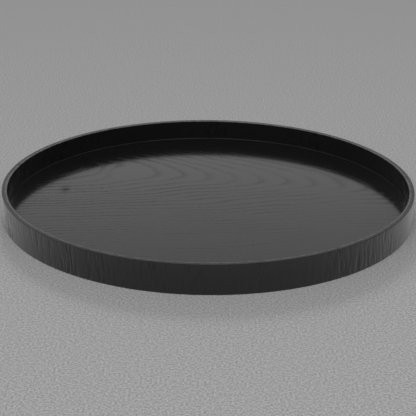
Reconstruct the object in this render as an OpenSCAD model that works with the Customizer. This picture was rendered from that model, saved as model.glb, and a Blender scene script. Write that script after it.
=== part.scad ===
// Round serving tray in black-stained ash plywood.
// Five thin plies are bent and glued into a hoop that stands on edge, and a flat panel of
// five plies is glued up into a rebate on the hoop's inside lower edge.
// Millimetres. +Z is up. The origin is the centre of the ring that the hoop stands on.

/* [Tray] */
// Outside diameter of the hoop
tray_d = 360; // [200:1:500]
// Height of the hoop
rim_h = 25; // [14:0.5:60]

/* [Hoop plies] */
// Thickness of the hoop's outer and inner face veneers
rim_face_t = 0.65; // [0.5:0.05:1.5]
// Thickness of each of the hoop's three core plies
rim_core_t = 1; // [0.6:0.05:2.5]
// Rounding of the hoop's outer edges, top and bottom
outer_edge_r = 0.5; // [0.3:0.1:1.5]
// Rounding of the hoop's inner top edge
inner_edge_r = 0.5; // [0.2:0.1:1.2]
// Length of a scarf joint, in ply thicknesses, on the plies whose grain runs along the hoop
scarf_slope = 8; // [4:1:12]
// Angle from one ply's end joint to the next ply's
joint_stagger = 45; // [20:5:70]

/* [Base panel plies] */
// Thickness of the panel's top and bottom face veneers
base_face_t = 0.55; // [0.4:0.05:1.5]
// Thickness of each of the panel's three core plies
base_core_t = 1; // [0.6:0.05:2.5]
// Height of the panel's underside above the surface that the hoop stands on
base_recess = 2; // [1.5:0.25:6]

/* [Glue] */
// Thickness of every glue line
glue_t = 0.1; // [0.05:0.01:0.2]
// Radius of the hollow bead of glue in the corner between the panel's top and the hoop
bead_r = 0.7; // [0.3:0.1:1.5]

/* [Hidden] */
$fn = 256;

// Hoop plies are numbered from the outside in, and panel plies from the top down.
rim_ply_t = [rim_face_t, rim_core_t, rim_core_t, rim_core_t, rim_face_t];
base_ply_t = [base_face_t, base_core_t, base_core_t, base_core_t, base_face_t];
last_ply = len(rim_ply_t) - 1;
// The rebate is cut through the plies inside this one.
rebate_wall_ply = 2;
// The grain of these hoop plies runs along the hoop; that of the others runs up it.
long_grain = [false, true, false, true, false];
first_joint_angle = 90;

// Total of a list's values before item n, with a glue line after each
function stack_before(t, n) = n == 0 ? 0 : t[n - 1] + glue_t + stack_before(t, n - 1);

function rim_ply_outer_r(i) = tray_d / 2 - stack_before(rim_ply_t, i);
function rim_ply_inner_r(i) = rim_ply_outer_r(i) - rim_ply_t[i];
function joint_angle(i) = first_joint_angle + i * joint_stagger;
function scarf_length(i) = long_grain[i] ? scarf_slope * rim_ply_t[i] : 0;

base_t = stack_before(base_ply_t, last_ply) + base_ply_t[last_ply];
base_top = base_recess + base_t;
rim_inner_r = rim_ply_inner_r(last_ply);
rebate_wall_r = rim_ply_inner_r(rebate_wall_ply);
rebate_top = base_top + glue_t;
base_r = rebate_wall_r - glue_t;
function base_ply_top(i) = base_top - stack_before(base_ply_t, i);
// A ply inside the rebate's wall stops on the rebate's shoulder; the others reach the table.
function rim_ply_foot(i) = i > rebate_wall_ply ? rebate_top : 0;

stain_black = [0.10, 0.10, 0.105];
edge_black = [0.16, 0.16, 0.165];
bare_core = [0.72, 0.58, 0.40];
dark_glue = [0.22, 0.20, 0.18];

// What a rounding of radius r takes off a corner at the origin, with the wood at -x and -y
module corner_waste(r) {
    difference() {
        translate([-r, -r])
            square(2 * r);
        translate([-r, -r])
            circle(r);
        translate([-2 * r, -2 * r])
            square([2 * r, r]);
        translate([-2 * r, -2 * r])
            square([r, 4 * r]);
    }
}

// The hoop's whole section before the rebate, at its true radius, with its edges rounded
module rim_section() {
    difference() {
        translate([rim_inner_r, 0])
            square([tray_d / 2 - rim_inner_r, rim_h]);
        translate([tray_d / 2, rim_h])
            corner_waste(outer_edge_r);
        translate([tray_d / 2, 0])
            mirror([0, 1])
                corner_waste(outer_edge_r);
        translate([rim_inner_r, rim_h])
            mirror([1, 0])
                corner_waste(inner_edge_r);
    }
}

// The part of the hoop from radius inner_r to outer_r that lies above foot
module rim_layer(inner_r, outer_r, foot) {
    rotate_extrude()
        intersection() {
            rim_section();
            translate([inner_r, foot])
                square([outer_r - inner_r, rim_h]);
        }
}

module rim_ply_blank(i) {
    rim_layer(rim_ply_inner_r(i), rim_ply_outer_r(i), rim_ply_foot(i));
}

// The glue line where a hoop ply's two ends meet: square on, or slanted into a scarf
module end_joint(i) {
    lean = atan(scarf_length(i) / rim_ply_t[i]);
    reach = 1.4 * norm([scarf_length(i), rim_ply_t[i]]);
    rotate([0, 0, joint_angle(i)])
        translate([(rim_ply_inner_r(i) + rim_ply_outer_r(i)) / 2, 0, rim_h / 2])
            rotate([0, 0, lean])
                cube([reach, glue_t, 2 * rim_h], center = true);
}

module rim_ply(i) {
    difference() {
        rim_ply_blank(i);
        end_joint(i);
    }
}

module rim_outer_face_veneer() {
    color(stain_black)
        rim_ply(0);
}

module rim_outer_core_ply() {
    color(edge_black)
        rim_ply(1);
}

module rim_middle_core_ply() {
    color(edge_black)
        rim_ply(2);
}

module rim_inner_core_ply() {
    color(edge_black)
        rim_ply(3);
}

module rim_inner_face_veneer() {
    color(stain_black)
        rim_ply(4);
}

// One film of glue inside each hoop ply but the last
module rim_glue_lines() {
    color(dark_glue)
        for (i = [0 : last_ply - 1])
            rim_layer(rim_ply_outer_r(i + 1), rim_ply_inner_r(i), rim_ply_foot(i + 1));
}

// The glue in each hoop ply's own end joint
module rim_end_joint_glue() {
    color(dark_glue)
        for (i = [0 : last_ply])
            intersection() {
                rim_ply_blank(i);
                end_joint(i);
            }
}

// A flat round layer of the panel with its top at height top
module base_layer(top, t) {
    translate([0, 0, top - t])
        cylinder(r = base_r, h = t);
}

module base_ply(i) {
    base_layer(base_ply_top(i), base_ply_t[i]);
}

module base_top_face_veneer() {
    color(stain_black)
        base_ply(0);
}

module base_upper_core_ply() {
    color(bare_core)
        base_ply(1);
}

module base_middle_core_ply() {
    color(bare_core)
        base_ply(2);
}

module base_lower_core_ply() {
    color(bare_core)
        base_ply(3);
}

module base_bottom_face_veneer() {
    color(stain_black)
        base_ply(4);
}

// One film of glue under each panel ply but the lowest
module base_glue_lines() {
    color(dark_glue)
        for (i = [0 : last_ply - 1])
            base_layer(base_ply_top(i + 1) + glue_t, glue_t);
}

// A hollow bead that fills the corner at the origin out to r along -x and +y
module hollow_bead(r) {
    difference() {
        translate([-r, 0])
            square(r);
        translate([-r, r])
            circle(r);
    }
}

// The panel's glue: on top of its edge, down the rebate's wall, and squeezed out as a bead
module rebate_glue() {
    color(dark_glue)
        rotate_extrude() {
            translate([rim_inner_r, base_top])
                square([rebate_wall_r - rim_inner_r, glue_t]);
            translate([base_r, base_recess])
                square([glue_t, base_t]);
            translate([rim_inner_r, base_top])
                hollow_bead(bead_r);
        }
}

rim_outer_face_veneer();
rim_outer_core_ply();
rim_middle_core_ply();
rim_inner_core_ply();
rim_inner_face_veneer();
rim_glue_lines();
rim_end_joint_glue();
base_top_face_veneer();
base_upper_core_ply();
base_middle_core_ply();
base_lower_core_ply();
base_bottom_face_veneer();
base_glue_lines();
rebate_glue();
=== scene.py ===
"""Round serving tray in black-stained ash plywood: a bent-ply hoop with a flat panel glued in.

Metres, +Z up, origin at the centre of the ring that the hoop stands on. The panel's face grain
runs along X. Angles round the hoop are measured from +X, and 270 degrees is the front.
"""
import math

import bmesh
import bpy
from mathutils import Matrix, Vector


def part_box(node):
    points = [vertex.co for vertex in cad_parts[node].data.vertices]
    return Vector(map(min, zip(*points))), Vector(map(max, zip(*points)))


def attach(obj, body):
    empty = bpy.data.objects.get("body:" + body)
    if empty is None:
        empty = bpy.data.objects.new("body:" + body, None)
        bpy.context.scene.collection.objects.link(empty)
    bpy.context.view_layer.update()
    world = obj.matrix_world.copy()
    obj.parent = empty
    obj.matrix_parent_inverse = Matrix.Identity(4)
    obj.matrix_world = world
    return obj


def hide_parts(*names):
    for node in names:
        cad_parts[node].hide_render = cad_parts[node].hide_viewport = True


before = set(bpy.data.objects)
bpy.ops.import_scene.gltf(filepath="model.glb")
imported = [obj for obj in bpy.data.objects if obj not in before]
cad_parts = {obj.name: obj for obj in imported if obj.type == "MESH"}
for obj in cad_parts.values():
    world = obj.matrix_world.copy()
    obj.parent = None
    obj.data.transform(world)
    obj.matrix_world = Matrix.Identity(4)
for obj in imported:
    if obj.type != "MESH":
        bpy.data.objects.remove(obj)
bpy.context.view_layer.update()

BODY = "root"
MM = 0.001
TURN = 2 * math.pi

# From the outside in
HOOP_PLIES = [
    "rim_outer_face_veneer",
    "rim_outer_core_ply",
    "rim_middle_core_ply",
    "rim_inner_core_ply",
    "rim_inner_face_veneer",
]
# From the top down
PANEL_CORE = ["base_upper_core_ply", "base_middle_core_ply", "base_lower_core_ply"]


# ---------------------------------------------------------------- sizes taken from the frame

# How close to a radius a CAD point counts as lying on it
ON_WALL = 0.002 * MM
ON_JOINT = 0.01 * MM


def cad_points(node):
    return [v.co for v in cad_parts[node].data.vertices]


def outer_radius(node):
    return max(p.xy.length for p in cad_points(node))


def inner_radius(node):
    return min(p.xy.length for p in cad_points(node))


def foot_and_top(node):
    low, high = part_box(node)
    return low.z, high.z


def edge_rounding(node, radius, edge_z):
    """Radius of a rounded edge: how far the wall at that radius stops short of edge_z."""
    wall = [p.z for p in cad_points(node) if abs(p.xy.length - radius) < ON_WALL]
    return min(abs(edge_z - z) for z in wall)


def joint_angle_at(radius):
    """Angle at which a hoop ply's end joint crosses one of the ply's own two radii."""
    hits = [p for p in cad_points("rim_end_joint_glue") if abs(p.xy.length - radius) < ON_JOINT]
    x = sum(p.x / p.xy.length for p in hits)
    y = sum(p.y / p.xy.length for p in hits)
    return math.atan2(y, x) % TURN


def end_joint(node):
    """A hoop ply's end joint: its angle at mid-ply, and its slant in radians a metre outwards."""
    inner = inner_radius(node)
    outer = outer_radius(node)
    inner_end = joint_angle_at(inner)
    outer_end = joint_angle_at(outer)
    return (inner_end + outer_end) / 2, (outer_end - inner_end) / (outer - inner)


TRAY_R = outer_radius(HOOP_PLIES[0])
RIM_H = foot_and_top("rim_middle_core_ply")[1]
WELL_R = inner_radius(HOOP_PLIES[-1])
PANEL_R = outer_radius("base_top_face_veneer")
PANEL_TOP = foot_and_top("base_top_face_veneer")[1]
OUTER_ROUND = edge_rounding(HOOP_PLIES[0], TRAY_R, RIM_H)
FOOT_ROUND = edge_rounding(HOOP_PLIES[0], TRAY_R, 0.0)
INNER_ROUND = edge_rounding(HOOP_PLIES[-1], WELL_R, RIM_H)
GLUE_T = inner_radius(HOOP_PLIES[0]) - outer_radius(HOOP_PLIES[1])
BEAD_R = WELL_R - inner_radius("rebate_glue")

# The smallest softening of a sawn ply edge, and how far sanding leaves a glue line below it
PLY_EDGE_ROUND = 0.08 * MM
GLUE_SINK = 0.05 * MM


# ---------------------------------------------------------------- node building


class Nodes:
    """Adds nodes to a shader or geometry tree. Values may be numbers, vectors or sockets."""

    def __init__(self, tree):
        self.tree = tree

    def add(self, kind, inputs=(), **settings):
        """The new node itself. Every other method returns an output of its node."""
        node = self.tree.nodes.new(kind)
        for name, value in settings.items():
            setattr(node, name, value)
        for key, value in dict(inputs).items():
            self.feed(node.inputs[key], value)
        return node

    def feed(self, socket, value):
        if isinstance(value, bpy.types.NodeSocket):
            self.tree.links.new(value, socket)
        else:
            socket.default_value = value

    def math(self, operation, a, b=0.0):
        return self.add("ShaderNodeMath", {0: a, 1: b}, operation=operation).outputs[0]

    def plus(self, a, b):
        return self.math("ADD", a, b)

    def minus(self, a, b):
        return self.math("SUBTRACT", a, b)

    def times(self, a, b):
        return self.math("MULTIPLY", a, b)

    def squared(self, a):
        return self.times(a, a)

    def length(self, x, y):
        return self.math("SQRT", self.plus(self.squared(x), self.squared(y)))

    def scaled(self, vector, factor):
        node = self.add("ShaderNodeVectorMath", {0: vector, 3: factor}, operation="SCALE")
        return node.outputs[0]

    def xyz(self, x, y, z):
        return self.add("ShaderNodeCombineXYZ", {0: x, 1: y, 2: z}).outputs[0]

    def split(self, vector):
        return self.add("ShaderNodeSeparateXYZ", {0: vector}).outputs

    def noise(self, vector, detail=2.0, w=None):
        """Noise with grains about one unit across. Giving w makes it four-dimensional."""
        inputs = {"Vector": vector, "Scale": 1.0, "Detail": detail}
        if w is not None:
            inputs["W"] = w
        dimensions = "3D" if w is None else "4D"
        return self.add("ShaderNodeTexNoise", inputs, noise_dimensions=dimensions).outputs[0]

    def grains(self, coordinates, sizes, detail, seed=0.0):
        """Noise stretched to a size along each of two or three coordinates.

        The seed picks one of the patterns that two coordinates can have.
        """
        stretched = [self.times(c, 1 / size) for c, size in zip(coordinates, sizes)]
        if len(stretched) == 2:
            stretched.append(seed)
        return self.noise(self.xyz(*stretched), detail)

    def ramp(self, value, low, high, to_low=0.0, to_high=1.0):
        """Smooth step from to_low at low to to_high at high."""
        inputs = {
            "Value": value,
            "From Min": low,
            "From Max": high,
            "To Min": to_low,
            "To Max": to_high,
        }
        node = self.add("ShaderNodeMapRange", inputs, interpolation_type="SMOOTHSTEP")
        return node.outputs[0]

    def blend(self, factor, a, b):
        """a at factor 0, b at factor 1."""
        return self.plus(a, self.times(factor, self.minus(b, a)))

    def spot(self, x, y, centre, sharpness):
        """1 at a centre, fading to 0 round it as a bell."""
        off_x = self.times(self.minus(x, centre[0]), sharpness[0])
        off_y = self.times(self.minus(y, centre[1]), sharpness[1])
        far = self.plus(self.squared(off_x), self.squared(off_y))
        return self.math("EXPONENT", self.times(far, -1.0))


# ---------------------------------------------------------------- grain

# Arches of the panel's face veneer, in tray radii and rings. Their axis passes ARCH_AXIS_Y
# behind the tray's centre, and their noses are round over ARCH_NOSE, the root of
# ARCH_NOSE_SQUARED to four places. ARCH_RINGS are the rings crossed in a tray radius along the
# grain, and the others those crossed away from the axis, in front of it and behind it, each with
# a share that grows with the distance squared.
ARCH_AXIS_Y = 0.333
ARCH_AXIS_SLOPE = 0.14
ARCH_NOSE = 0.1225
ARCH_NOSE_SQUARED = 0.015
ARCH_RINGS = 7.4
FRONT_RINGS = 22.0
FRONT_RINGS_GROWTH = 6.0
BACK_RINGS = 10.0
BACK_RINGS_GROWTH = 26.0

# What bends the rings off that pattern: slow wandering, ragged edges and one eye
WANDER = 0.16
WANDER_SIZE = (1 / 1.6, 1 / 3.2)
RAGGED_RINGS = 0.28
RAGGED_SIZE = (1 / 30, 1 / 60)
EYE_RINGS = 1.3
EYE_AT = (-0.47, 0.40)
EYE_SHARPNESS = (14.0, 12.0)

KNOT_DARKNESS = 0.8
KNOT_AT = (-0.72, 0.13)
KNOT_SHARPNESS = (45.0, 22.0)

# Early wood takes up the first part of each ring
EARLY_WOOD_ONSET = 0.14
EARLY_WOOD_END = 0.62

# Patches of the panel's face where the lines stand out more or less
STRENGTH_SIZE = (1 / 2.5, 1 / 9)

FIBRE_LENGTH = 22 * MM
FIBRE_WIDTH = 0.7 * MM
PORE_LENGTH = 5 * MM
PORE_WIDTH = 0.4 * MM

# How much of the early wood and of the wood between is open pores
EARLY_WOOD_PORES = 1.0
LATE_WOOD_PORES = 0.2

# Streaks on the hoop's faces: their slope up the wall in radians a metre, and their sizes
WALL_LEAN = 0.35
WALL_SWAY = 2.2 * MM
WALL_SWAY_SIZE = (1 / 60, 1 / 60, 1 / 30)
WALL_FIGURE_SIZE = (1 / 16, 1 / 16)
WALL_STREAK_SIZE = (2.6 * MM, 2.6 * MM, 1 / 70)

EDGE_FIBRE_WIDTH = 0.25 * MM
EDGE_FIBRE_LENGTH = 40 * MM


def crown_cut_rings(n, x, y):
    """Growth-ring count over a crown-cut face with its grain along X, in tray radii.

    Rings nest in long arches that open to the left along an axis behind the middle. They lie
    wide apart near the axis and close up to straight lines away from it.
    """
    wander = n.minus(n.grains((x, y), WANDER_SIZE, detail=2.0), 0.5)
    across = n.plus(n.minus(y, ARCH_AXIS_Y), n.times(x, ARCH_AXIS_SLOPE))
    across = n.plus(across, n.times(wander, WANDER))
    bend = n.math("SQRT", n.plus(n.squared(across), ARCH_NOSE_SQUARED))
    bend = n.minus(bend, ARCH_NOSE)
    in_front = n.math("LESS_THAN", across, 0.0)
    count = n.blend(in_front, BACK_RINGS, FRONT_RINGS)
    growth = n.blend(in_front, BACK_RINGS_GROWTH, FRONT_RINGS_GROWTH)
    rings = n.plus(n.times(bend, count), n.times(n.squared(bend), growth))
    rings = n.plus(rings, n.times(x, ARCH_RINGS))
    rings = n.plus(rings, n.times(n.spot(x, y, EYE_AT, EYE_SHARPNESS), EYE_RINGS))
    ragged = n.grains((x, y), RAGGED_SIZE, detail=1.0, seed=2.0)
    return n.plus(rings, n.times(ragged, RAGGED_RINGS))


def early_wood(n, rings):
    """1 in the open early wood that starts each ring, fading to 0 through the ring."""
    part = n.math("FRACT", rings)
    onset = n.ramp(part, 0.0, EARLY_WOOD_ONSET)
    fade = n.ramp(part, EARLY_WOOD_ONSET, EARLY_WOOD_END, 1.0, 0.0)
    return n.times(onset, fade)


def panel_lines(n, position):
    """Share of open early wood on a panel face, with its one pin knot."""
    px, py, _ = n.split(position)
    x = n.times(px, 1 / TRAY_R)
    y = n.times(py, 1 / TRAY_R)
    line = early_wood(n, crown_cut_rings(n, x, y))
    strength = n.grains((x, y), STRENGTH_SIZE, detail=1.0, seed=3.0)
    line = n.times(line, n.ramp(strength, 0.25, 0.7, 0.5, 1.0))
    fainter_right = n.ramp(x, -0.2, 0.7, 0.76, 0.50)
    fainter_front = n.ramp(y, -0.8, 0.0, 0.60, 1.0)
    fainter_back = n.ramp(y, 0.05, 0.40, 1.0, 0.60)
    for fainter in (fainter_right, fainter_front, fainter_back):
        line = n.times(line, fainter)
    knot = n.times(n.spot(x, y, KNOT_AT, KNOT_SHARPNESS), KNOT_DARKNESS)
    return n.plus(line, knot)


def pore_share(n, noise, line):
    """Share of open pores, most of which lie in the early wood."""
    most = n.blend(line, LATE_WOOD_PORES, EARLY_WOOD_PORES)
    return n.times(n.ramp(noise, 0.50, 0.62), most)


def panel_grain(n, position):
    """Early wood, fibre and pore shares, from 0 to 1, on a panel face."""
    line = panel_lines(n, position)
    px, py, _ = n.split(position)
    fibre = n.grains((px, py), (FIBRE_LENGTH, FIBRE_WIDTH), detail=2.0, seed=7.0)
    pore = n.grains((px, py), (PORE_LENGTH, PORE_WIDTH), detail=1.0, seed=11.0)
    return line, fibre, pore_share(n, pore, line)


def wall_coordinates(n, position):
    """Coordinates that follow the grain up the hoop's wall, with its lean and its sway."""
    px, py, pz = n.split(position)
    lean = n.times(pz, WALL_LEAN)
    x = n.minus(px, n.times(py, lean))
    y = n.plus(py, n.times(px, lean))
    sway = n.grains((x, y, pz), WALL_SWAY_SIZE, detail=1.0)
    shift = n.times(n.minus(sway, 0.5), WALL_SWAY)
    return n.plus(x, shift), n.plus(y, shift), pz


def wall_lines(n, x, y, z):
    """Share of open early wood on a hoop face, in streaks up the wall."""
    figure = n.grains((x, y), WALL_FIGURE_SIZE, detail=1.0, seed=5.0)
    streak = n.grains((x, y, z), WALL_STREAK_SIZE, detail=4.0)
    return n.times(n.ramp(streak, 0.48, 0.64), n.ramp(figure, 0.36, 0.62, 0.25, 1.0))


def wall_grain(n, position):
    """Early wood, fibre and pore shares, from 0 to 1, on a hoop face."""
    x, y, z = wall_coordinates(n, position)
    line = wall_lines(n, x, y, z)
    fibre = n.grains((x, y, z), (FIBRE_WIDTH, FIBRE_WIDTH, FIBRE_LENGTH), detail=2.0)
    pore = n.grains((x, y, z), (PORE_WIDTH, PORE_WIDTH, PORE_LENGTH), detail=1.0)
    return line, fibre, pore_share(n, pore, line)


def edge_grain(n, position):
    """The same on the sawn edge of a ply whose grain runs along the hoop."""
    px, py, pz = n.split(position)
    radius = n.length(px, py)
    across = n.xyz(
        n.times(radius, 1 / EDGE_FIBRE_WIDTH),
        n.times(pz, 1 / EDGE_FIBRE_WIDTH),
        n.times(px, 1 / EDGE_FIBRE_LENGTH),
    )
    fibre = n.noise(across, detail=2.0, w=n.times(py, 1 / EDGE_FIBRE_LENGTH))
    line = n.ramp(fibre, 0.45, 0.7)
    return line, fibre, line


# ---------------------------------------------------------------- materials

LACQUER_IOR = 1.55
BLACK_STAIN = (0.0120, 0.0117, 0.0128, 1.0)
BLACK_PORE = (0.0035, 0.0034, 0.0038, 1.0)
# Painted highlight: a lighter stain for the bright line along the hoop's inner top edge
EDGE_HIGHLIGHT_STAIN = (0.180, 0.178, 0.186, 1.0)
SET_GLUE = (0.018, 0.0175, 0.018, 1.0)
PALE_BIRCH = (0.60, 0.44, 0.27, 1.0)
DARK_BIRCH = (0.46, 0.31, 0.17, 1.0)

# Where the painted highlight on the hoop's inner top edge starts and stops fading: below the
# hoop's top, and outwards from the well
HIGHLIGHT_DOWN = (0.2 * MM, 0.7 * MM)
HIGHLIGHT_OUT = (0.9 * MM, 2.6 * MM)
HIGHLIGHT_PATCH = 6 * MM

FIBRE_ROUGHNESS = 0.06

GLUE_LUMP_SIZE = 2.5 * MM
GLUE_WIPE_SIZE = 1 / 14
GLUE_ROUGHNESS = 0.36
GLUE_LUMP_ROUGHNESS = 0.2
GLUE_WIPE_ROUGHNESS = 0.30

BIRCH_GRAIN_SIZE = (1 / 30, 1 / 900, 1 / 900)
BIRCH_ROUGHNESS = 0.55
BIRCH_GRAIN_ROUGHNESS = 0.15
BIRCH_DEPTH = 0.02 * MM

# A Mix node's inputs share their names, so they go by number
MIX_FACTOR = 0
MIX_A = 6
MIX_B = 7
MIX_RESULT = 2


def new_material(name):
    """A new material, the builder of its nodes and its shader."""
    material = bpy.data.materials.new(name)
    material.use_nodes = True
    tree = material.node_tree
    shader = tree.nodes["Principled BSDF"]
    return material, Nodes(tree), shader


def object_position(n):
    return n.add("ShaderNodeTexCoord").outputs["Object"]


def mix_colour(n, factor, a, b):
    """Colour a at factor 0, b at factor 1."""
    inputs = {MIX_FACTOR: factor, MIX_A: a, MIX_B: b}
    return n.add("ShaderNodeMix", inputs, data_type="RGBA").outputs[MIX_RESULT]


def add_bump(n, shader, height):
    """A height in metres as bump."""
    bump = n.add("ShaderNodeBump", {"Height": height, "Distance": 1.0, "Strength": 1.0})
    n.feed(shader.inputs["Normal"], bump.outputs[0])


def painted_edge_highlight(n, position):
    """1 on the hoop's inner top edge, where a lighter stain is painted on as a highlight."""
    px, py, pz = n.split(position)
    near_top = n.ramp(pz, RIM_H - HIGHLIGHT_DOWN[1], RIM_H - HIGHLIGHT_DOWN[0])
    near_well = n.ramp(n.length(px, py), WELL_R + HIGHLIGHT_OUT[0], WELL_R + HIGHLIGHT_OUT[1], 1.0, 0.0)
    patchy = n.ramp(n.noise(n.scaled(position, 1 / HIGHLIGHT_PATCH)), 0.25, 0.65, 0.4, 1.0)
    return n.times(n.times(near_top, near_well), patchy)


def stained_wood(name, grain, rough, depth):
    """Black-stained open-pore ash under satin lacquer.

    rough is the roughness of plain wood, then what the early wood and its pores add to it.
    depth is how deep the early wood, the fibres and the pores are, in metres.
    """
    material, n, shader = new_material(name)
    position = object_position(n)
    line, fibre, pore = grain(n, position)
    open_wood = n.plus(n.times(pore, 0.5), n.times(line, 0.5))
    colour = mix_colour(n, open_wood, BLACK_STAIN, BLACK_PORE)
    # Painted highlight: the lighter stain laid along the hoop's inner top edge
    colour = mix_colour(n, painted_edge_highlight(n, position), colour, EDGE_HIGHLIGHT_STAIN)
    n.feed(shader.inputs["Base Color"], colour)
    roughness = n.plus(rough[0], n.times(line, rough[1]))
    roughness = n.plus(roughness, n.times(pore, rough[2]))
    roughness = n.plus(roughness, n.times(n.minus(fibre, 0.5), FIBRE_ROUGHNESS))
    n.feed(shader.inputs["Roughness"], roughness)
    n.feed(shader.inputs["IOR"], LACQUER_IOR)
    height = n.times(line, -depth[0])
    height = n.plus(height, n.times(fibre, depth[1]))
    height = n.minus(height, n.times(pore, depth[2]))
    add_bump(n, shader, height)
    return material


def add_sheen(material, weight, roughness):
    """The pale bloom that lacquer over open pores has when it is seen along the surface."""
    shader = material.node_tree.nodes["Principled BSDF"]
    shader.inputs["Sheen Weight"].default_value = weight
    shader.inputs["Sheen Roughness"].default_value = roughness


def glue_material():
    """Hard glue over the stain: dull where it was wiped, glossier where it was left."""
    material, n, shader = new_material("set_glue")
    position = object_position(n)
    lump = n.noise(n.scaled(position, 1 / GLUE_LUMP_SIZE))
    wiped = n.ramp(n.noise(n.scaled(position, 1 / GLUE_WIPE_SIZE)), 0.46, 0.60)
    n.feed(shader.inputs["Base Color"], SET_GLUE)
    roughness = n.plus(GLUE_ROUGHNESS, n.times(lump, GLUE_LUMP_ROUGHNESS))
    roughness = n.plus(roughness, n.times(wiped, GLUE_WIPE_ROUGHNESS))
    n.feed(shader.inputs["Roughness"], roughness)
    n.feed(shader.inputs["IOR"], LACQUER_IOR)
    return material


def bare_core_material():
    """Pale birch of the panel's hidden core plies."""
    material, n, shader = new_material("bare_birch")
    px, py, pz = n.split(object_position(n))
    grain = n.grains((px, py, pz), BIRCH_GRAIN_SIZE, detail=3.0)
    colour = mix_colour(n, n.ramp(grain, 0.3, 0.7), PALE_BIRCH, DARK_BIRCH)
    n.feed(shader.inputs["Base Color"], colour)
    roughness = n.plus(BIRCH_ROUGHNESS, n.times(grain, BIRCH_GRAIN_ROUGHNESS))
    n.feed(shader.inputs["Roughness"], roughness)
    add_bump(n, shader, n.times(grain, BIRCH_DEPTH))
    return material


# ---------------------------------------------------------------- sections and trees

# A wall's first and last row of squares, which keeps its rounded edges crisp
GUARD = 0.06 * MM

# A rounding smaller than FINE_ROUND takes fewer steps
FINE_ROUND = 0.2 * MM
FINE_ROUND_STEPS = 3
ROUND_STEPS = 8

# Points closer than this are one point
SAME_POINT = 0.0005 * MM

# A Compare node's inputs share their names too, and these are its whole numbers
COMPARE_A = 2
COMPARE_B = 3


def link_object(name, data):
    """A new object in the scene."""
    obj = bpy.data.objects.new(name, data)
    bpy.context.scene.collection.objects.link(obj)
    return obj


def arc_points(centre, radius, start, end, steps):
    """Points of an arc in the section plane, angles in degrees."""
    points = []
    for i in range(steps + 1):
        angle = math.radians(start + (end - start) * i / steps)
        points.append((centre[0] + radius * math.cos(angle), centre[1] + radius * math.sin(angle)))
    return points


def straight_run(a, b, rows):
    """Points between a and b, without either end, with one close to each end to keep it crisp."""
    length = math.dist(a, b)
    guard = min(GUARD, length / 4)
    reach = [guard + (length - 2 * guard) * i / rows for i in range(rows + 1)]
    return [
        (a[0] + (b[0] - a[0]) * t / length, a[1] + (b[1] - a[1]) * t / length) for t in reach
    ]


def square_section(inner, outer, foot, top):
    """Corners of a section as (radius, z), anticlockwise from the outer foot."""
    return [(outer, foot), (outer, top), (inner, top), (inner, foot)]


def rounded_section(inner, outer, foot, top, rounds, rows=1):
    """The same with its corners rounded and rows of points up its two walls.

    rounds are the radii at the outer foot, outer top, inner top and inner foot.
    """
    corners = square_section(inner, outer, foot, top)
    inward = [(-1, 1), (-1, -1), (1, -1), (1, 1)]
    ends_a_wall = [False, True, False, True]
    outline = []
    for i, ((x, z), (dx, dz), radius) in enumerate(zip(corners, inward, rounds)):
        start = 90 * (i - 1)
        steps = FINE_ROUND_STEPS if radius < FINE_ROUND else ROUND_STEPS
        arc = arc_points((x + dx * radius, z + dz * radius), radius, start, start + 90, steps)
        if outline:
            outline += straight_run(outline[-1], arc[0], rows if ends_a_wall[i] else 1)
        outline += arc
    return outline + straight_run(outline[-1], outline[0], 1)


def section_object(name, outline):
    """A mesh of one closed outline in the XY plane. The sweep lays its +Y downwards."""
    count = len(outline)
    edges = [(i, (i + 1) % count) for i in range(count)]
    mesh = bpy.data.meshes.new(name)
    mesh.from_pydata([(x, -z, 0.0) for x, z in outline], edges, [])
    return link_object(name, mesh)


def new_tree(name, inputs):
    """A geometry tree with named inputs. Gives the tree, its builder and its inputs."""
    tree = bpy.data.node_groups.new(name, "GeometryNodeTree")
    tree.interface.new_socket("Geometry", in_out="INPUT", socket_type="NodeSocketGeometry")
    for label, kind in inputs.items():
        tree.interface.new_socket(label, in_out="INPUT", socket_type="NodeSocket" + kind)
    tree.interface.new_socket("Geometry", in_out="OUTPUT", socket_type="NodeSocketGeometry")
    n = Nodes(tree)
    return tree, n, n.add("NodeGroupInput").outputs


def end_tree(n, geometry, finish):
    """Ends a tree: real geometry, smooth shading, one finish."""
    real = n.add("GeometryNodeRealizeInstances", {0: geometry}).outputs[0]
    smooth = n.add("GeometryNodeSetShadeSmooth", {"Geometry": real}).outputs[0]
    done = n.add("GeometryNodeSetMaterial", {"Geometry": smooth, "Material": finish}).outputs[0]
    n.add("NodeGroupOutput", {0: done})


def set_position(n, geometry, **inputs):
    """Moves points. The inputs are Position or Offset, and a Selection where there is one."""
    return n.add("GeometryNodeSetPosition", {"Geometry": geometry, **inputs}).outputs[0]


def extrude_edges(n, mesh, selection):
    """Gives the chosen edges a new strip of faces with no width, to be moved into place."""
    inputs = {"Mesh": mesh, "Selection": selection, "Offset Scale": 0.0}
    return n.add("GeometryNodeExtrudeMesh", inputs, mode="EDGES").outputs


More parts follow.
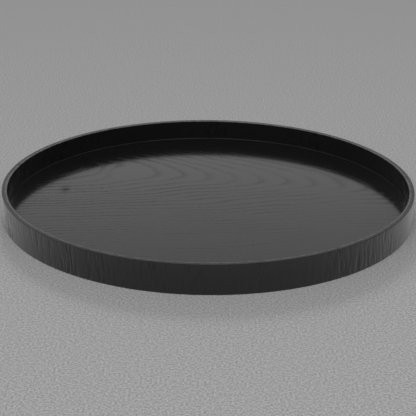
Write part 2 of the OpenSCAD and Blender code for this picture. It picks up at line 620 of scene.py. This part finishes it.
def hoop_sweep_tree():
    """Bends a section into a hoop, slants its ends into a scarf and cuts the grain's relief."""
    tree, n, given = new_tree(
        "bend_into_hoop",
        {
            "Reference radius": "Float",
            "Start angle": "Float",
            "Sweep angle": "Float",
            "Steps": "Int",
            "Full turn": "Bool",
            "Scarf twist": "Float",
            "Relief depth": "Float",
            "Relief from": "Float",
            "Relief to": "Float",
            "Finish": "Material",
        },
    )
    reference = given["Reference radius"]
    to_path = n.xyz(n.times(reference, -1.0), 0.0, 0.0)
    section = n.add(
        "GeometryNodeTransform", {"Geometry": given["Geometry"], "Translation": to_path}
    ).outputs[0]
    section = n.add("GeometryNodeMeshToCurve", {0: section}).outputs[0]
    path = n.add(
        "GeometryNodeCurveArc",
        {
            "Resolution": n.plus(given["Steps"], 1.0),
            "Radius": reference,
            "Start Angle": given["Start angle"],
            "Sweep Angle": given["Sweep angle"],
        },
        mode="RADIUS",
    ).outputs[0]
    path = n.add(
        "GeometryNodeSetSplineCyclic", {"Geometry": path, "Cyclic": given["Full turn"]}
    ).outputs[0]
    hoop = n.add(
        "GeometryNodeCurveToMesh", {"Curve": path, "Profile Curve": section, "Fill Caps": True}
    ).outputs[0]
    position = n.add("GeometryNodeInputPosition").outputs[0]
    px, py, _ = n.split(position)
    radius = n.length(px, py)
    twist = n.times(n.minus(radius, reference), given["Scarf twist"])
    turned = n.add(
        "ShaderNodeVectorRotate", {"Vector": position, "Angle": twist}, rotation_type="Z_AXIS"
    ).outputs[0]
    hoop = set_position(n, hoop, Position=turned)
    line = wall_lines(n, *wall_coordinates(n, position))
    share = n.ramp(radius, given["Relief from"], given["Relief to"])
    depth = n.math("DIVIDE", n.times(n.times(share, line), given["Relief depth"]), radius)
    hoop = set_position(n, hoop, Offset=n.scaled(n.xyz(px, py, 0.0), depth))
    end_tree(n, hoop, given["Finish"])
    return tree


def panel_sheet_tree():
    """A round sheet with growth rings in relief on its face, closed at its back.

    A square grid is drawn in to a disc. Its border is carried down to the back's height, and
    from there to the middle, so the sheet's side and back close the shell.
    """
    tree, n, given = new_tree(
        "round_sheet",
        {
            "Radius": "Float",
            "Face height": "Float",
            "Face to back": "Float",
            "Squares across": "Int",
            "Relief depth": "Float",
            "Finish": "Material",
        },
    )
    count = n.plus(given["Squares across"], 1.0)
    grid = n.add(
        "GeometryNodeMeshGrid",
        {"Size X": 2.0, "Size Y": 2.0, "Vertices X": count, "Vertices Y": count},
    ).outputs[0]
    position = n.add("GeometryNodeInputPosition").outputs[0]
    sx, sy, _ = n.split(position)
    half_x = n.math("SQRT", n.minus(1.0, n.times(n.squared(sx), 0.5)))
    half_y = n.math("SQRT", n.minus(1.0, n.times(n.squared(sy), 0.5)))
    disc_x = n.times(n.times(sx, half_y), given["Radius"])
    disc_y = n.times(n.times(sy, half_x), given["Radius"])
    face = set_position(n, grid, Position=n.xyz(disc_x, disc_y, given["Face height"]))
    line = panel_lines(n, position)
    sink = n.times(n.times(line, given["Relief depth"]), n.math("SIGN", given["Face to back"]))
    face = set_position(n, face, Offset=n.xyz(0.0, 0.0, sink))
    neighbours = n.add("GeometryNodeInputMeshEdgeNeighbors").outputs[0]
    one_face = {COMPARE_A: neighbours, COMPARE_B: 1}
    border = n.add(
        "FunctionNodeCompare", one_face, data_type="INT", operation="EQUAL"
    ).outputs[0]
    side = extrude_edges(n, face, border)
    back_height = n.plus(given["Face height"], given["Face to back"])
    back_edge = set_position(
        n, side["Mesh"], Selection=side["Top"], Position=n.xyz(sx, sy, back_height)
    )
    fan = extrude_edges(n, back_edge, side["Top"])
    sheet = set_position(
        n, fan["Mesh"], Selection=fan["Top"], Position=n.xyz(0.0, 0.0, back_height)
    )
    sheet = n.add(
        "GeometryNodeMergeByDistance", {"Geometry": sheet, "Distance": SAME_POINT}
    ).outputs[0]
    end_tree(n, sheet, given["Finish"])
    return tree


def run_tree(obj, tree, values):
    """Evaluates a geometry tree on an object and leaves the result as its plain mesh."""
    modifier = obj.modifiers.new(tree.name, "NODES")
    modifier.node_group = tree
    sockets = {s.name: s.identifier for s in tree.interface.items_tree if s.in_out == "INPUT"}
    for name, value in values.items():
        modifier[sockets[name]] = value
    depsgraph = bpy.context.evaluated_depsgraph_get()
    mesh = bpy.data.meshes.new_from_object(obj.evaluated_get(depsgraph))
    obj.modifiers.remove(modifier)
    obj.data = mesh
    mesh.name = obj.name
    mesh.materials.clear()
    mesh.materials.append(values["Finish"])


def outward_faces(obj):
    """Turns a closed shell's faces outwards."""
    mesh = bmesh.new()
    mesh.from_mesh(obj.data)
    bmesh.ops.remove_doubles(mesh, verts=mesh.verts, dist=SAME_POINT)
    bmesh.ops.recalc_face_normals(mesh, faces=mesh.faces)
    mesh.to_mesh(obj.data)
    mesh.free()


def hand_over(obj, replaced):
    """Puts a finished piece on the tray in place of a CAD node."""
    outward_faces(obj)
    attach(obj, BODY)
    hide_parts(replaced)


# ---------------------------------------------------------------- finishes of the tray

FACE_WOOD = stained_wood(
    "stained_ash_wall",
    wall_grain,
    rough=(0.07, 0.20, 0.15),
    depth=(0.14 * MM, 0.006 * MM, 0.012 * MM),
)
OUTER_WOOD = stained_wood(
    "stained_ash_outside",
    wall_grain,
    rough=(0.07, 0.36, 0.46),
    depth=(0.20 * MM, 0.006 * MM, 0.02 * MM),
)
add_sheen(OUTER_WOOD, weight=0.6, roughness=0.45)
EDGE_WOOD = stained_wood(
    "stained_ply_edge",
    edge_grain,
    rough=(0.12, 0.10, 0.10),
    depth=(0.0, 0.004 * MM, 0.004 * MM),
)
PANEL_WOOD = stained_wood(
    "stained_ash_panel",
    panel_grain,
    rough=(0.108, 0.20, 0.19),
    depth=(0.002 * MM, 0.0005 * MM, 0.002 * MM),
)
GLUE = glue_material()
BIRCH = bare_core_material()

# From the outside in. The core plies with grain along the hoop show a sawn edge.
HOOP_FINISHES = [OUTER_WOOD, EDGE_WOOD, FACE_WOOD, EDGE_WOOD, FACE_WOOD]


# ---------------------------------------------------------------- pieces of the tray

HOOP_TREE = hoop_sweep_tree()
SHEET_TREE = panel_sheet_tree()

WALL_RELIEF = 0.20 * MM
PANEL_RELIEF = 0.009 * MM
BEAD_RELIEF = 0.10 * MM

# A relief is its depth and the radii between which it grows from none to full
NO_RELIEF = (0.0, 0.0, 1.0)

# Squares round the hoop and up its faces, and across the panel
FINE_STEPS = 1440
PLAIN_STEPS = 720
FACE_ROWS = 16
PANEL_SQUARES = 300


def sweep(name, outline, start, angle, steps, finish, twist=0.0, relief=NO_RELIEF):
    """One piece swept round the hoop. A full turn joins up, and less than that has end faces."""
    full_turn = angle == TURN
    if full_turn:
        # The last step of a closed path goes back to its first point by itself
        angle *= (steps - 1) / steps
        steps -= 1
    radii = [point[0] for point in outline]
    obj = section_object(name, outline)
    values = {
        "Reference radius": (min(radii) + max(radii)) / 2,
        "Start angle": start,
        "Sweep angle": angle,
        "Steps": steps,
        "Full turn": full_turn,
        "Scarf twist": twist,
        "Relief depth": relief[0],
        "Relief from": relief[1],
        "Relief to": relief[2],
        "Finish": finish,
    }
    run_tree(obj, HOOP_TREE, values)
    return obj


def hoop_ply(node, finish):
    """One ply of the hoop: a strip bent round until its two ends meet."""
    inner = inner_radius(node)
    outer = outer_radius(node)
    foot, top = foot_and_top(node)
    outermost = node == HOOP_PLIES[0]
    innermost = node == HOOP_PLIES[-1]
    rounds = [PLY_EDGE_ROUND] * 4
    relief = NO_RELIEF
    if outermost:
        rounds[:2] = [FOOT_ROUND, OUTER_ROUND]
        relief = (-WALL_RELIEF, inner, outer)
    if innermost:
        rounds[2] = INNER_ROUND
        relief = (WALL_RELIEF, outer, inner)
    face = outermost or innermost
    joint, slant = end_joint(node)
    gap = GLUE_T / outer
    obj = sweep(
        node.replace("rim_", "hoop_"),
        rounded_section(inner, outer, foot, top, rounds, rows=FACE_ROWS if face else 1),
        joint + gap / 2,
        TURN - gap,
        FINE_STEPS if face else PLAIN_STEPS,
        finish,
        twist=slant,
        relief=relief,
    )
    hand_over(obj, node)


def join(objects):
    """One object of several, under the first one's name."""
    with bpy.context.temp_override(active_object=objects[0], selected_editable_objects=objects):
        bpy.ops.object.join()
    return objects[0]


def hoop_glue():
    """The films between the plies, sanded a little below them."""
    films = []
    for outside, inside in zip(HOOP_PLIES, HOOP_PLIES[1:]):
        foot = max(foot_and_top(inside)[0], GLUE_SINK)
        top = RIM_H - GLUE_SINK
        outline = square_section(outer_radius(inside), inner_radius(outside), foot, top)
        films.append(sweep("hoop_glue_lines", outline, 0.0, TURN, PLAIN_STEPS, GLUE))
    hand_over(join(films), "rim_glue_lines")


def end_joint_glue():
    """The glue where each ply's two ends meet, kept inside the ply's rounded edges."""
    joints = []
    for node in HOOP_PLIES:
        foot, top = foot_and_top(node)
        inner = inner_radius(node) + GLUE_SINK
        outer = outer_radius(node) - GLUE_SINK
        outline = square_section(inner, outer, max(foot, FOOT_ROUND), top - OUTER_ROUND)
        joint, slant = end_joint(node)
        gap = GLUE_T / outer
        start = joint - gap / 2
        joints.append(sweep("hoop_end_joint_glue", outline, start, gap, 1, GLUE, twist=slant))
    hand_over(join(joints), "rim_end_joint_glue")


def rebate_bead():
    """Glue over and round the panel's edge, with the hollow bead left in the corner."""
    foot = foot_and_top("rebate_glue")[0]
    wall = PANEL_R + GLUE_T
    hollow = arc_points((WELL_R - BEAD_R, PANEL_TOP + BEAD_R), BEAD_R, -90, 0, ROUND_STEPS)
    outline = hollow + [
        (WELL_R, PANEL_TOP + GLUE_T),
        (wall, PANEL_TOP + GLUE_T),
        (wall, foot),
        (PANEL_R, foot),
        (PANEL_R, PANEL_TOP),
    ]
    relief = (BEAD_RELIEF, WELL_R, WELL_R - BEAD_R / 2)
    obj = sweep("rebate_glue_bead", outline, 0.0, TURN, FINE_STEPS, GLUE, relief=relief)
    hand_over(obj, "rebate_glue")


def panel_face(node, name, face_height, back_height):
    """A face veneer of the panel."""
    obj = link_object(name, bpy.data.meshes.new(name))
    values = {
        "Radius": PANEL_R,
        "Face height": face_height,
        "Face to back": back_height - face_height,
        "Squares across": PANEL_SQUARES,
        "Relief depth": PANEL_RELIEF,
        "Finish": PANEL_WOOD,
    }
    run_tree(obj, SHEET_TREE, values)
    hand_over(obj, node)


def finish_node(node, material):
    """A better material on a CAD node that stays."""
    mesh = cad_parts[node].data
    mesh.materials.clear()
    mesh.materials.append(material)


for node, finish in zip(HOOP_PLIES, HOOP_FINISHES):
    hoop_ply(node, finish)
hoop_glue()
end_joint_glue()
rebate_bead()
lower, upper = foot_and_top("base_top_face_veneer")
panel_face("base_top_face_veneer", "panel_top_veneer", upper, lower)
lower, upper = foot_and_top("base_bottom_face_veneer")
panel_face("base_bottom_face_veneer", "panel_bottom_veneer", lower, upper)
for node in PANEL_CORE:
    finish_node(node, BIRCH)
finish_node("base_glue_lines", GLUE)


# ---------------------------------------------------------------- floor

FLOOR_SIZE = 16.0
FLOOR_PALE = (0.830, 0.825, 0.835, 1.0)
FLOOR_DARK = (0.510, 0.507, 0.515, 1.0)
FLOOR_SPECK = 1.6 * MM
FLOOR_ROUGHNESS = 0.9


def make_floor():
    """A pale floor with a fine speck."""
    mesh = bpy.data.meshes.new("floor")
    half = FLOOR_SIZE / 2
    corners = [(-half, -half, 0.0), (half, -half, 0.0), (half, half, 0.0), (-half, half, 0.0)]
    mesh.from_pydata(corners, [], [(0, 1, 2, 3)])
    floor = link_object("floor", mesh)
    material, n, shader = new_material("pale_paper")
    speck = n.noise(n.scaled(object_position(n), 1 / FLOOR_SPECK))
    colour = mix_colour(n, n.ramp(speck, 0.3, 0.7), FLOOR_DARK, FLOOR_PALE)
    n.feed(shader.inputs["Base Color"], colour)
    n.feed(shader.inputs["Roughness"], FLOOR_ROUGHNESS)
    mesh.materials.append(material)


# ---------------------------------------------------------------- light

# Radiance of each part of the studio
LOW_SKY = 0.20
SCREEN = 0.67
SCREEN_HIGH = 0.50
BACK_TOP = 0.15
FRONT_BOX = 0.55
LEFT_BIAS = 0.2

# Soft edges of those parts: the screen's side as an angle from straight back, the front box's
# by how far a direction points back, and the others by how far it points up
SCREEN_SIDE = (0.13, 0.39)
SCREEN_FOOT = (0.17, 0.27)
SCREEN_FADE = (0.28, 0.46)
FRONT_BOX_EDGE = (-0.40, -0.05)
OVERHEAD = (0.455, 0.545)

BACK_LIGHT_STRENGTH = 0.50
BACK_LIGHT_ELEVATION = 30.5
BACK_LIGHT_ANGLE = 14.0
BACK_LIGHT_FROM_LEFT = 4.0

FRONT_LIGHT_AT = (0.0, -1.3, 2.3)
FRONT_LIGHT_SIZE = 1.5
FRONT_LIGHT_WATTS = 12.5


def make_world():
    """Studio light by direction.

    A pale screen stands behind, a broad soft box hangs high in front, and the rest is dim.
    """
    world = bpy.data.worlds.new("studio")
    bpy.context.scene.world = world
    world.use_nodes = True
    n = Nodes(world.node_tree)
    dx, dy, up = n.split(n.add("ShaderNodeTexCoord").outputs["Generated"])
    aside = n.math("ABSOLUTE", n.math("ARCTAN2", dx, dy))
    on_screen = n.times(n.ramp(aside, *SCREEN_SIDE, 1.0, 0.0), n.ramp(up, *SCREEN_FOOT))
    low = n.blend(on_screen, LOW_SKY, n.ramp(up, *SCREEN_FADE, SCREEN, SCREEN_HIGH))
    high = n.ramp(dy, *FRONT_BOX_EDGE, FRONT_BOX, BACK_TOP)
    light = n.blend(n.ramp(up, *OVERHEAD), low, high)
    light = n.times(light, n.minus(1.0, n.times(dx, LEFT_BIAS)))
    shader = world.node_tree.nodes["Background"]
    n.feed(shader.inputs["Color"], n.xyz(light, light, light))
    n.feed(shader.inputs["Strength"], 1.0)


def make_back_light():
    """A distant soft box behind, kept out of the lacquer, that throws the soft shadow forwards."""
    data = bpy.data.lights.new("back_light", "SUN")
    data.energy = BACK_LIGHT_STRENGTH
    data.angle = math.radians(BACK_LIGHT_ANGLE)
    light = link_object("back_light", data)
    tilt = math.radians(BACK_LIGHT_ELEVATION - 90)
    light.rotation_euler = (tilt, 0.0, math.radians(BACK_LIGHT_FROM_LEFT))
    light.visible_glossy = False


def make_front_light():
    """A soft box over the camera, which leaves the far end of the floor a little darker."""
    data = bpy.data.lights.new("front_light", "AREA")
    data.size = FRONT_LIGHT_SIZE
    data.energy = FRONT_LIGHT_WATTS
    light = link_object("front_light", data)
    light.location = FRONT_LIGHT_AT
    light.rotation_euler = (math.atan2(-FRONT_LIGHT_AT[1], FRONT_LIGHT_AT[2]), 0.0, 0.0)
    light.visible_glossy = False


# ---------------------------------------------------------------- camera

# Lens and sensor in millimetres, place in metres, angles in degrees
LENS = 101.8
SENSOR_WIDTH = 36.0
CAMERA_BACK = 0.97384
CAMERA_UP = 0.38421
CAMERA_PITCH = 21.578
CAMERA_ROLL = 0.5
CAMERA_REACH = 40.0


def make_camera():
    """A long lens in front of the tray and above it, looking down at the well."""
    data = bpy.data.cameras.new("camera")
    data.lens = LENS
    data.sensor_width = SENSOR_WIDTH
    data.clip_end = CAMERA_REACH
    camera = link_object("camera", data)
    camera.location = (0.0, -CAMERA_BACK, CAMERA_UP)
    camera.rotation_euler = (math.radians(90 - CAMERA_PITCH), 0.0, 0.0)
    camera.rotation_euler.rotate_axis("Z", math.radians(CAMERA_ROLL))
    bpy.context.scene.camera = camera


make_floor()
make_front_light()
make_back_light()
make_world()
make_camera()
bpy.context.scene.view_settings.view_transform = "Standard"
